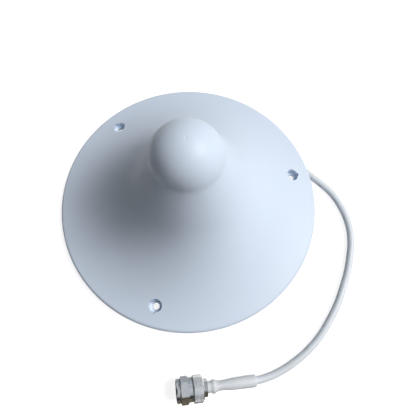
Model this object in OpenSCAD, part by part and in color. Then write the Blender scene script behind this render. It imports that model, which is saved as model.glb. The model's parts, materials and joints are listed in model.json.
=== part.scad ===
// Ceiling omnidirectional antenna for a cellular signal booster: a bell-shaped radome
// over a conical radiator, with a coaxial pigtail that ends in an N plug.
// Millimetres. +Z runs from the mounting face to the knob, and the origin is the
// centre of the mounting face, so the antenna lies face up on a table.

/* [Radome] */
// Outside diameter of the rim
radome_d = 220; // [180:1:265]
// Height from the mounting face to the top of the knob
radome_h = 120; // [100:1:150]
// Radius of the knob
knob_r = 25; // [20:0.5:30]
// Radius of the hollow neck under the knob
neck_r = 15; // [8:1:24]
// Slope of the flank under the neck, from the horizontal
flank_slope = 65; // [58:1:70]
// Slope of the top of the rim, from the horizontal
rim_slope = 13; // [8:1:18]
// Height of the rim's shoulder
rim_h = 9.5; // [9:0.5:12]
// Radius of the rim's outer edge
rim_round = 3; // [3:0.5:4]
// Wall of the moulding
wall = 2.5; // [1.8:0.1:3]

/* [Mounting screws] */
// Number of mounting screws
mount_n = 3; // [2:1:4]
// Distance from a screw to the outside of the rim
mount_edge = 17; // [14:0.5:20]
// Diameter of a screw hole
mount_hole_d = 5.4; // [4:0.1:6.5]
// Diameter of a counterbore
mount_cbore_d = 10; // [8.5:0.1:12]
// Height of a counterbore's floor
mount_floor = 5.5; // [3:0.5:6.5]
// Wall around a counterbore
mount_boss_wall = 2; // [1.6:0.1:2.5]

/* [Base] */
// Height of the base plate's underside, which is the depth of the cable recess
base_z = 8; // [7.4:0.1:8.2]
// Thickness of the base plate
base_t = 2; // [1.6:0.1:2.4]
// Thickness of the reflector disc
reflector_t = 1.5; // [1:0.1:2.5]
// Diameter of the small screws
screw_d = 3; // [2.5:0.1:3.2]

/* [Radiator] */
// Radius of the plate that closes the cone
plate_r = 36; // [30:0.5:40]
// Radius of the tube above the plate
tube_r = 16; // [12:0.5:19]
// Air between the radiator and the radome
air_gap = 4; // [3:0.5:6]
// Thickness of the radiator's sheet
sheet_t = 1.2; // [0.8:0.1:1.6]
// Height of the cone's tip above the reflector
cone_lift = 6.5; // [5:0.5:9]

/* [Cable] */
// Diameter of the cable
cable_d = 6; // [5:0.1:6]
// Width of the slot in the rim that the cable leaves by
slot_w = 8; // [7:0.5:12]
// Height of that slot
slot_h = 7; // [6.5:0.1:7.5]

/* [N plug] */
// Length of the coupling nut
nut_l = 21.3; // [20:0.1:25]
// Size of the nut's hexagon across flats
nut_flats = 17.2; // [16.8:0.1:17.6]
// Diameter of the nut's knurled ring
knurl_d = 19.6; // [18:0.1:19.6]
// Diameter of the nut's lip and waist
nut_waist_d = 17; // [17:0.1:18]
// Bore of the nut's screwed mouth
nut_bore_d = 15.2; // [14.8:0.1:15.9]
// Diameter of the body where the nut turns
journal_d = 10.4; // [10:0.1:11]
// Size of the body's hexagon across flats
body_flats = 11.6; // [11:0.1:14]
// Length of the shrink sleeve over the cable
sleeve_l = 22; // [16:0.5:30]

/* [Hidden] */

$fn = 96;

function flat(p) = [p.x, p.y];

// Clearances
run_gap = 0.08;
fit_gap = 0.1;
seat_gap = 0.5;
thread_gap = 0.05;

// Longer than anything it cuts through
deep = 200;

// The cable's route, from the feed ferrule under the base to the plug's spigot
ROUTE = [
    [12, 20, 3.6], [18, 30, 3.5], [25, 40, 3.2], [35, 48.5, 3], [47, 54, 3],
    [60, 56, 3], [73, 53, 3], [84, 46.5, 3], [94, 37.5, 3], [103, 27.7, 3],
    [111.2, 18.8, 3], [119.9, 9.9, 3], [128.1, -0.1, 3], [134.2, -12.8, 3],
    [137.7, -27, 3], [137.7, -41.5, 3], [134.2, -56.6, 3], [129.2, -70.8, 3],
    [122.7, -84.3, 3], [115.6, -96.9, 3], [107.2, -108.6, 3], [97.5, -120, 3],
    [86.4, -129.6, 3], [74.5, -137.3, 3], [63.1, -142.9, 3.05], [52.9, -146.3, 3.5],
    [42.1, -147.96, 4.72], [31.2, -148.28, 6.14], [20.3, -148.6, 7.56]
];
CABLE_SIDES = 10;

// Profile of the bell, in radius and height. It runs from the knob through the hollow
// neck, down the straight flank and the flare to the rounded rim.
rim_r = radome_d / 2;
neck_slope = 85;
tip_flat = 0.3;
function across(s) = [sin(s), cos(s)];
function along(s) = [cos(s), -sin(s)];
knob_at = [0, radome_h - knob_r];
neck_at = knob_at + (knob_r + neck_r) * across(neck_slope);
flank_top = neck_at - neck_r * across(flank_slope);
edge_at = [rim_r - rim_round, rim_h - rim_round * cos(rim_slope)];
shoulder = edge_at + rim_round * across(rim_slope);

// The flare is the largest arc that touches both the flank and the top of the rim
span = shoulder - flank_top;
turn = cross(along(flank_slope), along(rim_slope));
flank_run = cross(span, along(rim_slope)) / turn;
rim_run = cross(along(flank_slope), span) / turn;
flare_run = min(flank_run, rim_run);
flare_r = flare_run / tan((flank_slope - rim_slope) / 2);
flare_top = flank_top + (flank_run - flare_run) * along(flank_slope);
flare_at = flare_top + flare_r * across(flank_slope);

// Points of an arc between two slopes: a positive radius bulges out, a negative hollows
function arc(centre, r, s0, s1, step) =
    let (n = ceil(abs(s1 - s0) / step))
    [for (i = [0:n]) centre + r * across(s0 + (s1 - s0) * i / n)];
function bell(inset, step) = concat(
    [for (r = [0, tip_flat]) [r, radome_h - inset]],
    arc(knob_at, knob_r - inset, step, neck_slope, step),
    arc(neck_at, -neck_r - inset, neck_slope, flank_slope, step),
    arc(flare_at, -flare_r - inset, flank_slope, rim_slope, step * 0.7),
    arc(edge_at, rim_round - inset, rim_slope, 90, step * 5)
);
function reversed(list) = [for (i = [len(list) - 1:-1:0]) list[i]];

// Height of the ceiling inside the radome at a radius, and its radius at a height
INSIDE = bell(wall, 4);
function inside_z(r) = lookup(r, INSIDE);
function inside_r(z) = lookup(z, [for (p = reversed(INSIDE)) [p.y, p.x]]);

// Mounting bosses
mount_r = rim_r - mount_edge;
mount_at = 10;
mount_boss_r = mount_cbore_d / 2 + mount_boss_wall;
relief_reach = 1.3;
relief_turn = 50;
gussets_per_screw = 4;

// Base, posts and reflector
base_top = base_z + base_t;
base_r = inside_r(base_top + seat_gap);
post_wall = 2.4;
post_r = screw_d / 2 + post_wall;
post_inset = 12;
post_at_r = base_r - post_inset;
post_l = inside_z(post_at_r) - base_top;
screw_hole_r = screw_d / 2 + 0.25;
tapped_r = screw_d / 2 + thread_gap;
head_r = screw_d * 0.95;
head_h = screw_d * 0.65;
reflector_r = post_at_r - post_r - 1;
reflector_top = base_top + reflector_t;
rib_t = 1.4;
base_rib_h = 1.3;
base_rib_from = 26;
base_ring_r = base_r - 3;
mid_ring_r = 60;
rim_rib_foot = 2;
ledge_w = 1.5;
ledge_h = 1.2;
screw_well_r = head_r + 1;

// Radiator
cone_z = reflector_top + cone_lift;
plate_z = inside_z(plate_r + air_gap) - 2 * sheet_t;
plate_top = plate_z + sheet_t;
tube_top = inside_z(tube_r + air_gap);
hub_r = 6;
hub_h = 6;
cone_r = plate_r - 5;
rivet_d = 2.4;
rivet_hole_r = rivet_d / 2 + thread_gap;
rivet_r = plate_r - 2.6;
tube_flange_w = 5;
tube_rivet_r = tube_r + tube_flange_w / 2 + 0.4;
leg_n = 3;
leg_w = 8;
leg_tab = 8;
leg_foot = 14;
leg_screw_r = plate_r + sheet_t + 8;
leg_turn = 100;
leg_boss_h = 3;

// Feed
pin_r = 1;
core_r = 0.5;
feed_turn = atan2(ROUTE[0].y, ROUTE[0].x);
feed_z = ROUTE[0].z;
feed_out = norm(flat(ROUTE[0]));
feed_w = 18;
feed_screw_at = 6.2;
block_floor = 0.8;
flange_t = 2.5;
collar_r = 5;
collar_h = 2;
collar_top = reflector_top + flange_t + collar_h;
dielectric_r = 3.3;
cable_bore_r = 1.7;
spigot_r = 2.5;
ferrule_wall = 0.9;

// Plug frame: the origin is the cable's end, and +Z runs to the plug's mouth
cable_end = ROUTE[len(ROUTE) - 1];
cable_in = cable_end - ROUTE[len(ROUTE) - 2];
plug_turn = atan2(cable_in.y, cable_in.x);
plug_rise = atan2(cable_in.z, norm(flat(cable_in)));
cable_r = cable_d / 2;
shrink_bore_r = cable_r + thread_gap;
sleeve_start = 14.7;
shoulder_z = 11.5;
plug_spigot_r = 2.4;
hex_l = 3.4;
flat_turn = 38;
nut_z = sleeve_start + hex_l;
mouth_z = nut_z + nut_l;
nut_wall = 3.2;
lip_l = 4;
nut_hex_l = 5.9;
waist_l = 3.8;
ring_from = nut_z + 1;
ring_w = 1.3;
ring_depth = 0.7;
flange_from = nut_z + nut_wall + 0.3;
flange_to = nut_z + 8.8;
flange_r = 6.9;
outer_contact_r = 4.05;
contact_bore_r = 3.5;
contact_tip = mouth_z - 3.5;
insulator_to = flange_to + 2;
gasket_t = 1.2;
contact_r = 0.82;
collet_slit_w = 0.5;
collet_slit_l = 4;
nut_bevel = 0.9;
lip_bevel = 0.3;
lip_groove_at = 2.4;
lip_groove_w = 1.2;
lip_groove_d = 0.35;

module ring(r_out, r_in, h, z = 0) {
    translate([0, 0, z])
        difference() {
            cylinder(r = r_out, h = h);
            translate([0, 0, -1]) cylinder(r = r_in, h = h + 2);
        }
}

module around(n, r, turn = 0) {
    for (i = [0:n - 1]) rotate([0, 0, turn + 360 * i / n]) translate([r, 0, 0]) children();
}

module at_mounts() {
    around(mount_n, mount_r, mount_at) children();
}

module at_posts() {
    around(mount_n, post_at_r, mount_at + 180 / mount_n) children();
}

module at_legs(r) {
    around(leg_n, r, leg_turn) children();
}

module at_tube_rivets() {
    around(leg_n, tube_rivet_r, leg_turn + 180 / leg_n) children();
}

module at_feed_screws() {
    rotate([0, 0, feed_turn]) around(4, feed_screw_at * sqrt(2), 45) children();
}

// A pan-head screw with a cross recess: head on z = 0, shank down
module screw(l) {
    recess_w = 0.6;
    recess_depth = 0.7;
    translate([0, 0, -l]) cylinder(d = screw_d, h = l);
    difference() {
        intersection() {
            cylinder(r = head_r, h = head_h);
            translate([0, 0, -head_r]) sphere(r = head_r * 1.72);
        }
        for (a = [0, 90])
            rotate([0, 0, a])
                translate([0, 0, head_h]) cube([head_r, recess_w, 2 * recess_depth], center = true);
    }
}

module rivet(l) {
    translate([0, 0, -l]) cylinder(d = rivet_d, h = l);
    intersection() {
        cylinder(d = 2 * rivet_d, h = rivet_d / 2);
        translate([0, 0, -1.2 * rivet_d]) sphere(r = 1.68 * rivet_d);
    }
}

// Solid bell under the middle of the wall, which trims what grows from the inside
module bell_core() {
    middle = wall / 2;
    rotate_extrude($fn = 180)
        polygon(concat(bell(middle, 4), [[rim_r - middle, 0], [0, 0]]));
}

module bell_shell() {
    rotate_extrude($fn = 180)
        polygon(concat(bell(0, 2.5), [[rim_r, 0], [rim_r - wall, 0]], reversed(INSIDE)));
}

// Counterbore with a pointed relief on its outer side
module counterbore() {
    r = mount_cbore_d / 2;
    translate([0, 0, mount_floor])
        linear_extrude(rim_h + 20)
            union() {
                circle(r = r);
                polygon([
                    [r * relief_reach, 0],
                    for (a = [-1, 1]) 0.9 * r * [cos(relief_turn), a * sin(relief_turn)]
                ]);
            }
}

// Where the cable's route crosses the middle of the skirt
crossing_r = rim_r - wall / 2;
crossings = [
    for (i = [0:len(ROUTE) - 2])
        if (norm(flat(ROUTE[i])) < crossing_r && norm(flat(ROUTE[i + 1])) >= crossing_r) i
];
crossing = crossings[0];
cross_a = flat(ROUTE[crossing]);
cross_b = flat(ROUTE[crossing + 1]);
cross_part = (crossing_r - norm(cross_a)) / (norm(cross_b) - norm(cross_a));
slot_at = cross_a + cross_part * (cross_b - cross_a);
slot_turn = atan2(cross_b.y - cross_a.y, cross_b.x - cross_a.x);

module cable_slot() {
    slot_l = 26;
    round_r = 2;
    translate([slot_at.x, slot_at.y, 0]) rotate([0, 0, slot_turn]) {
        translate([-slot_l / 2, -slot_w / 2, -1]) cube([slot_l, slot_w, slot_h - round_r + 1]);
        translate([-slot_l / 2, -slot_w / 2 + round_r, -1]) cube([slot_l, slot_w - 2 * round_r, slot_h + 1]);
        for (side = [-1, 1])
            translate([-slot_l / 2, side * (slot_w / 2 - round_r), slot_h - round_r])
                rotate([0, 90, 0]) cylinder(r = round_r, h = slot_l, $fn = 48);
    }
}

module radome() {
    gussets = gussets_per_screw * mount_n;
    color("white")
        difference() {
            union() {
                bell_shell();
                intersection() {
                    bell_core();
                    union() {
                        at_mounts() cylinder(r = mount_boss_r, h = radome_h);
                        at_mounts()
                            for (side = [-1, 1])
                                translate([0, side * mount_boss_r * 0.6 - rib_t / 2, rim_rib_foot])
                                    cube([mount_edge - wall / 2, rib_t, rim_h]);
                        at_posts() translate([0, 0, base_top]) cylinder(r = post_r, h = radome_h);
                        ring(base_r + wall, base_r - ledge_w, ledge_h, base_top);
                        for (i = [1:gussets])
                            if (i % gussets_per_screw != 0)
                                rotate([0, 0, mount_at + 360 * i / gussets])
                                    translate([base_r + 1, -rib_t / 2, rim_rib_foot])
                                        cube([rim_r - wall / 2 - base_r - 1, rib_t, rim_h]);
                    }
                }
            }
            at_mounts() {
                counterbore();
                translate([0, 0, -1]) cylinder(d = mount_hole_d, h = deep);
            }
            at_posts() translate([0, 0, base_top - 1]) cylinder(r = tapped_r, h = post_l + 1);
            cable_slot();
        }
}

// Two moulded walls that hold the cable on its route
module cable_guide(i) {
    ahead = ROUTE[i + 1] - ROUTE[i - 1];
    guide_l = 6;
    foot = 1.5;
    translate([ROUTE[i].x, ROUTE[i].y, 0]) rotate([0, 0, atan2(ahead.y, ahead.x)])
        for (side = [-1, 1])
            translate([-guide_l / 2, side * (cable_r + seat_gap + rib_t / 2) - rib_t / 2, foot])
                cube([guide_l, rib_t, base_z - foot + 1]);
}

module base_plate() {
    ribs = 12;
    color("gainsboro")
        difference() {
            union() {
                translate([0, 0, base_z]) cylinder(r = base_r, h = base_t, $fn = 180);
                around(ribs, base_rib_from, mount_at + 180 / ribs)
                    translate([0, -rib_t / 2, base_z - base_rib_h])
                        cube([base_ring_r - rib_t / 2 - base_rib_from, rib_t, base_rib_h + 1]);
                for (r = [base_ring_r, mid_ring_r]) ring(r, r - rib_t, base_rib_h + 1, base_z - base_rib_h);
                at_legs(leg_screw_r)
                    translate([0, 0, base_z - leg_boss_h]) cylinder(r = post_r, h = leg_boss_h + 1);
                at_posts()
                    translate([0, 0, base_z - base_rib_h])
                        cylinder(r = screw_well_r + rib_t, h = base_rib_h + 1);
                cable_guide(2);
                cable_guide(4);
            }
            at_mounts() cylinder(r = mount_boss_r + seat_gap, h = deep);
            at_posts() cylinder(r = screw_hole_r, h = deep);
            at_posts() cylinder(r = screw_well_r, h = base_z);
            at_legs(leg_screw_r) cylinder(r = tapped_r, h = deep);
            cylinder(r = collar_r + fit_gap, h = deep);
            at_feed_screws() cylinder(r = screw_hole_r, h = deep);
        }
}

module base_screws() {
    color("silver")
        at_posts() translate([0, 0, base_z]) mirror([0, 0, 1]) screw(base_t + post_l - seat_gap);
}

module reflector_disc() {
    color("lightgray")
        translate([0, 0, base_top])
            difference() {
                cylinder(r = reflector_r, h = reflector_t, $fn = 180);
                translate([0, 0, -1]) cylinder(r = collar_r + fit_gap, h = deep);
                at_legs(leg_screw_r) translate([0, 0, -1]) cylinder(r = screw_hole_r, h = deep);
                at_feed_screws() translate([0, 0, -1]) cylinder(r = screw_hole_r, h = deep);
            }
}

module radiator_cone() {
    tip = [hub_r, cone_z];
    top = [cone_r, plate_z - sheet_t];
    skin = sheet_t * norm(top - tip) / (top.y - tip.y);
    inner_tip = tip + (top - tip) * hub_h / (top.y - tip.y) - [skin, 0];
    color("goldenrod")
        difference() {
            rotate_extrude()
                polygon([
                    [0, cone_z], tip, top, [plate_r, plate_z - sheet_t], [plate_r, plate_z],
                    [cone_r, plate_z], [cone_r - skin, plate_z - sheet_t], inner_tip, [0, cone_z + hub_h]
                ]);
            cylinder(r = pin_r + thread_gap, h = deep);
            at_legs(rivet_r) cylinder(r = rivet_hole_r, h = deep);
        }
}

module radiator_plate() {
    color("gold")
        translate([0, 0, plate_z])
            difference() {
                cylinder(r = plate_r, h = sheet_t);
                at_legs(rivet_r) translate([0, 0, -1]) cylinder(r = rivet_hole_r, h = deep);
                at_tube_rivets() translate([0, 0, -1]) cylinder(r = rivet_hole_r, h = deep);
            }
}

module radiator_tube() {
    crown = 4;
    color("gold")
        difference() {
            rotate_extrude()
                polygon([
                    [0, tube_top], [tube_r - crown, tube_top], [tube_r, tube_top - crown],
                    [tube_r, plate_top + sheet_t], [tube_r + tube_flange_w, plate_top + sheet_t],
                    [tube_r + tube_flange_w, plate_top], [tube_r - sheet_t, plate_top],
                    [tube_r - sheet_t, tube_top - crown - sheet_t / 2],
                    [tube_r - crown - sheet_t / 2, tube_top - sheet_t], [0, tube_top - sheet_t]
                ]);
            at_tube_rivets() cylinder(r = rivet_hole_r, h = plate_top + 2 * sheet_t);
        }
}

module radiator_rivets() {
    color("darkgoldenrod") {
        at_legs(rivet_r) translate([0, 0, plate_top + sheet_t]) rivet(3 * sheet_t);
        at_tube_rivets() translate([0, 0, plate_top + sheet_t]) rivet(2 * sheet_t);
    }
}

// Bent strips that short the plate to the reflector and carry the radiator
module shorting_legs() {
    top = plate_top + sheet_t;
    back = plate_r + sheet_t;
    color("gold")
        for (i = [0:leg_n - 1])
            rotate([0, 0, leg_turn + 360 * i / leg_n])
                difference() {
                    translate([0, leg_w / 2, 0]) rotate([90, 0, 0])
                        linear_extrude(leg_w)
                            polygon([
                                [plate_r - leg_tab, top], [back, top], [back, reflector_top + sheet_t],
                                [plate_r + leg_foot, reflector_top + sheet_t],
                                [plate_r + leg_foot, reflector_top], [plate_r, reflector_top],
                                [plate_r, plate_top], [plate_r - leg_tab, plate_top]
                            ]);
                    translate([rivet_r, 0, plate_z]) cylinder(r = rivet_hole_r, h = deep);
                    translate([leg_screw_r, 0, 0]) cylinder(r = screw_hole_r, h = deep);
                }
}

module leg_screws() {
    color("silver")
        at_legs(leg_screw_r)
            translate([0, 0, reflector_top + sheet_t]) screw(sheet_t + reflector_t + base_t + leg_boss_h);
}

module feed_flange() {
    color("gold")
        difference() {
            union() {
                rotate([0, 0, feed_turn])
                    translate([-feed_w / 2, -feed_w / 2, reflector_top]) cube([feed_w, feed_w, flange_t]);
                translate([0, 0, base_z]) cylinder(r = collar_r, h = collar_top - base_z);
            }
            cylinder(r = dielectric_r + thread_gap, h = deep);
            at_feed_screws() cylinder(r = screw_hole_r, h = deep);
        }
}

// Along the cable where it leaves the feed block
module in_feed() {
    translate([0, 0, feed_z]) rotate([0, 0, feed_turn]) rotate([0, 90, 0]) children();
}

module feed_block() {
    color("gold")
        difference() {
            union() {
                rotate([0, 0, feed_turn])
                    translate([-feed_w / 2, -feed_w / 2, block_floor])
                        cube([feed_w, feed_w, base_z - block_floor]);
                in_feed() cylinder(r = spigot_r, h = feed_out - 1);
            }
            in_feed() cylinder(r = cable_bore_r, h = deep);
            translate([0, 0, feed_z]) cylinder(r = dielectric_r + thread_gap, h = deep);
            translate([0, 0, feed_z - cable_bore_r]) cylinder(r = cable_bore_r, h = deep);
            at_feed_screws() translate([0, 0, block_floor + 1]) cylinder(r = tapped_r, h = deep);
        }
}

module feed_dielectric() {
    bottom = feed_z + cable_bore_r + 0.4;
    color("whitesmoke")
        difference() {
            union() {
                translate([0, 0, bottom]) cylinder(r = dielectric_r, h = collar_top - bottom);
                translate([0, 0, collar_top]) cylinder(r = collar_r, h = cone_z - collar_top);
            }
            cylinder(r = pin_r + thread_gap, h = deep);
        }
}

module feed_pin() {
    color("gold") {
        translate([0, 0, feed_z - pin_r]) cylinder(r = pin_r, h = cone_z + hub_h - feed_z + pin_r);
        in_feed() cylinder(r = core_r, h = feed_out);
    }
}

module feed_screws() {
    grip = reflector_top + flange_t;
    color("silver")
        at_feed_screws() translate([0, 0, grip]) screw(grip - block_floor - 2);
}

// Crimp ferrule over the feed block's spigot
module feed_ferrule() {
    from = feed_w / 2 + 0.5;
    color("gold")
        in_feed()
            ring(spigot_r + thread_gap + ferrule_wall, spigot_r + thread_gap, feed_out - from, from);
}

// The cable as rings of points on its route
function tangent(i) =
    let (last = len(ROUTE) - 1, v = ROUTE[min(i + 1, last)] - ROUTE[max(i - 1, 0)]) v / norm(v);
function cable_ring(i) =
    let (
        t = i == 0 ? [ROUTE[0].x, ROUTE[0].y, 0] / feed_out : tangent(i),
        side = cross([0, 0, 1], t) / norm(cross([0, 0, 1], t)),
        up = cross(t, side)
    )
    [for (k = [0:CABLE_SIDES - 1])
        ROUTE[i] + cable_r * (cos(360 * k / CABLE_SIDES) * side + sin(360 * k / CABLE_SIDES) * up)];

module coax_cable() {
    m = CABLE_SIDES;
    last = len(ROUTE) - 1;
    color("white")
        polyhedron(
            points = [for (i = [0:last]) each cable_ring(i)],
            faces = concat(
                [[for (k = [0:m - 1]) k]],
                [for (i = [0:last - 1], k = [0:m - 1])
                    [i * m + k, (i + 1) * m + k, (i + 1) * m + (k + 1) % m, i * m + (k + 1) % m]],
                [[for (k = [m - 1:-1:0]) last * m + k]]
            ),
            convexity = 10
        );
}

module in_plug() {
    translate(cable_end) rotate([0, 0, plug_turn]) rotate([0, 90 - plug_rise, 0]) children();
}

// Half-profile of the shrink sleeve: start, ferrule bulge, crimped dip, plain end
SLEEVE = [
    [3.95, sleeve_start], [4.05, 13.2], [5, 11.4], [5.1, 10.2], [4.35, 8.2], [3.9, 5.6], [3.8, 4.2],
    [3.9, 2.2], [cable_r + 1.1, -1], [cable_r + 1.35, -5], [cable_r + 1.55, -10]
];
shrink_layer = 0.75;

module shrink_sleeve() {
    outer = concat(SLEEVE, [[cable_r + 1.65, -sleeve_l + 1], [cable_r + 1.4, -sleeve_l]]);
    color("white")
        in_plug()
            rotate_extrude()
                polygon(concat(outer, [for (p = reversed(outer)) [p.x - shrink_layer, p.y]]));
}

module shrink_inner() {
    from = -sleeve_l + 4;
    outer = [for (p = SLEEVE) if (p.y < 1) [p.x - shrink_layer - thread_gap, p.y]];
    color("whitesmoke")
        in_plug()
            rotate_extrude()
                polygon(concat(
                    outer,
                    [[cable_r + 0.5, from], [shrink_bore_r, from], [shrink_bore_r, outer[0].y]]
                ));
}

module crimp_ferrule() {
    color("silver")
        in_plug()
            rotate_extrude()
                polygon([
                    [plug_spigot_r + thread_gap, 0.4], [2.9, 2.2], [2.95, 5.6], [3.5, 8.2], [4.2, 10.2],
                    [4.15, shoulder_z - fit_gap], [2.95, shoulder_z - fit_gap],
                    [plug_spigot_r + thread_gap, 9.4]
                ]);
}

module plug_body() {
    color("silver")
        in_plug()
            difference() {
                union() {
                    cylinder(r = plug_spigot_r, h = sleeve_start);
                    translate([0, 0, shoulder_z]) cylinder(r = 3, h = sleeve_start - shoulder_z);
                    translate([0, 0, sleeve_start]) rotate([0, 0, flat_turn]) intersection() {
                        cylinder(r = body_flats / sqrt(3), h = hex_l, $fn = 6);
                        cylinder(r = body_flats * 0.56, h = hex_l);
                    }
                    translate([0, 0, nut_z]) cylinder(d = journal_d, h = flange_from - nut_z);
                    translate([0, 0, flange_from]) cylinder(r = flange_r, h = flange_to - flange_from);
                    translate([0, 0, flange_to]) cylinder(r = outer_contact_r, h = contact_tip - flange_to);
                }
                ring(journal_d, journal_d / 2 - ring_depth, ring_w, ring_from);
                translate([0, 0, 1]) cylinder(r = contact_bore_r / 2, h = mouth_z);
                translate([0, 0, flange_from]) cylinder(r = contact_bore_r, h = mouth_z);
                for (a = [0, 90])
                    translate([0, 0, contact_tip]) rotate([0, 0, a])
                        cube([2 * flange_r, collet_slit_w, 2 * collet_slit_l], center = true);
            }
}

module nut_hex() {
    intersection() {
        cylinder(r = nut_flats / sqrt(3), h = nut_hex_l, $fn = 6);
        rotate_extrude()
            polygon([
                [0, 0], [nut_flats / 2, 0], [nut_flats / sqrt(3), nut_bevel],
                [nut_flats / sqrt(3), nut_hex_l - nut_bevel], [nut_flats / 2, nut_hex_l], [0, nut_hex_l]
            ]);
    }
}

module coupling_nut() {
    waist_r = nut_waist_d / 2;
    knurl_r = knurl_d / 2;
    knurl_l = nut_l - lip_l - nut_hex_l - waist_l;
    hex_z = mouth_z - lip_l - nut_hex_l;
    cavity_z = nut_z + nut_wall;
    groove = [[0, -lip_groove_w / 2], [-lip_groove_d, -0.3], [-lip_groove_d, 0.3], [0, lip_groove_w / 2]];
    color("silver")
        in_plug()
            difference() {
                union() {
                    translate([0, 0, hex_z]) rotate([0, 0, flat_turn]) nut_hex();
                    rotate_extrude()
                        polygon(concat(
                            [[0, nut_z], [knurl_r - 1.2, nut_z], [knurl_r, nut_z + 1]],
                            [[knurl_r, nut_z + knurl_l - 0.6], [knurl_r - 0.6, nut_z + knurl_l]],
                            [[waist_r, nut_z + knurl_l]],
                            [for (p = groove) [waist_r, mouth_z - lip_groove_at] + p],
                            [[waist_r, mouth_z - 0.6], [waist_r - lip_bevel, mouth_z], [0, mouth_z]]
                        ));
                }
                translate([0, 0, nut_z - 1]) cylinder(r = journal_d / 2 + run_gap, h = nut_l);
                translate([0, 0, cavity_z]) cylinder(d = nut_bore_d, h = nut_l);
                translate([0, 0, ring_from]) cylinder(r = journal_d / 2 + 1, h = ring_w);
                translate([0, 0, mouth_z - 0.45])
                    cylinder(r1 = nut_bore_d / 2, r2 = nut_bore_d / 2 + 0.46, h = 0.46);
            }
}

module snap_ring() {
    thin = 0.15;
    r_out = journal_d / 2 + 0.8;
    r_in = journal_d / 2 - ring_depth + 0.1;
    color("darkgoldenrod")
        in_plug()
            difference() {
                ring(r_out, r_in, ring_w - 2 * thin, ring_from + thin);
                translate([0, -1.5, ring_from - 1]) cube([20, 3, 4]);
            }
}

module plug_gasket() {
    color("orangered")
        in_plug()
            ring(flange_r - 0.3, outer_contact_r + fit_gap, gasket_t, flange_to);
}

module plug_insulator() {
    length = insulator_to - flange_from;
    color("whitesmoke")
        in_plug()
            ring(contact_bore_r - thread_gap, contact_r + thread_gap, length, flange_from);
}

module contact_pin() {
    length = contact_tip - 3.5;
    color("gold")
        in_plug() {
            translate([0, 0, 3]) cylinder(r = contact_r, h = length - 3);
            translate([0, 0, length]) cylinder(r1 = contact_r, r2 = 0.3, h = 1.6, $fn = 48);
        }
}

radome();
base_plate();
base_screws();
reflector_disc();
radiator_cone();
radiator_plate();
radiator_tube();
radiator_rivets();
shorting_legs();
leg_screws();
feed_flange();
feed_block();
feed_dielectric();
feed_pin();
feed_screws();
feed_ferrule();
coax_cable();
shrink_inner();
shrink_sleeve();
crimp_ferrule();
plug_body();
coupling_nut();
snap_ring();
plug_gasket();
plug_insulator();
contact_pin();
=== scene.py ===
"""Looks of a bell-shaped ceiling antenna: its moulding, pigtail, N plug and studio.

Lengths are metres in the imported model's frame, where +Z runs from the mounting face to
the knob and the cable leaves towards +X. Outlines of turned and cut pieces are written
in millimetres.
"""

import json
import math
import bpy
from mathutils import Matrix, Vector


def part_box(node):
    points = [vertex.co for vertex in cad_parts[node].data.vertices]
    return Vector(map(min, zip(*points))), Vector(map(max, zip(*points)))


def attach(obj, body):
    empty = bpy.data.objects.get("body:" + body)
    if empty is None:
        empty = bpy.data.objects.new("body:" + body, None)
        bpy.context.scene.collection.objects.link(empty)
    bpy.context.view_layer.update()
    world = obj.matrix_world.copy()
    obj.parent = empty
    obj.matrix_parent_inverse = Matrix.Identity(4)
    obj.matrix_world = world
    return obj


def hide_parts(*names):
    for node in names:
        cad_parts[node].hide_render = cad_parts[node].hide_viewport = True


bl_info = {
    "name": "Ceiling antenna",
    "version": (1, 0, 0),
    "blender": (4, 5, 0),
    "location": "3D View > Sidebar > Antenna",
    "description": "Builds the visible surfaces of a bell-shaped ceiling antenna",
    "category": "Object",
}

import bpy
from bpy.props import FloatProperty, FloatVectorProperty, IntProperty, PointerProperty
from mathutils import Matrix, Vector

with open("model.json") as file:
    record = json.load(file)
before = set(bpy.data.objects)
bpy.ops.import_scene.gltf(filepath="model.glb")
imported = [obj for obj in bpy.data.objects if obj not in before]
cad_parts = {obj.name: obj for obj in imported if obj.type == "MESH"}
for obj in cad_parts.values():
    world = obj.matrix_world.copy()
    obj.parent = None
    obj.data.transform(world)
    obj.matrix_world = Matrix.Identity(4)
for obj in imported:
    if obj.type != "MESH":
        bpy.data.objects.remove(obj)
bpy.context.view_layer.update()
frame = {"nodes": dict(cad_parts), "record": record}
NODES = frame["nodes"]
MM = 0.001
# Edges shorter than this are what cuts and bevels leave behind
SLIVER = 0.002 * MM

# The cable's route, from the feed ferrule under the base to the plug's spigot
ROUTE = [
    (0.012, 0.020, 0.0036), (0.018, 0.030, 0.0035), (0.025, 0.040, 0.0032),
    (0.035, 0.0485, 0.003), (0.047, 0.054, 0.003), (0.060, 0.056, 0.003),
    (0.073, 0.053, 0.003), (0.084, 0.0465, 0.003), (0.094, 0.0375, 0.003),
    (0.103, 0.0277, 0.003), (0.1112, 0.0188, 0.003), (0.1199, 0.0099, 0.003),
    (0.1281, -0.0001, 0.003), (0.1342, -0.0128, 0.003), (0.1377, -0.027, 0.003),
    (0.1377, -0.0415, 0.003), (0.1342, -0.0566, 0.003), (0.1292, -0.0708, 0.003),
    (0.1227, -0.0843, 0.003), (0.1156, -0.0969, 0.003), (0.1072, -0.1086, 0.003),
    (0.0975, -0.120, 0.003), (0.0864, -0.1296, 0.003), (0.0745, -0.1373, 0.003),
    (0.0631, -0.1429, 0.00305), (0.0529, -0.1463, 0.0035), (0.0421, -0.14796, 0.00472),
    (0.0312, -0.14828, 0.00614), (0.0203, -0.1486, 0.00756),
]

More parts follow.
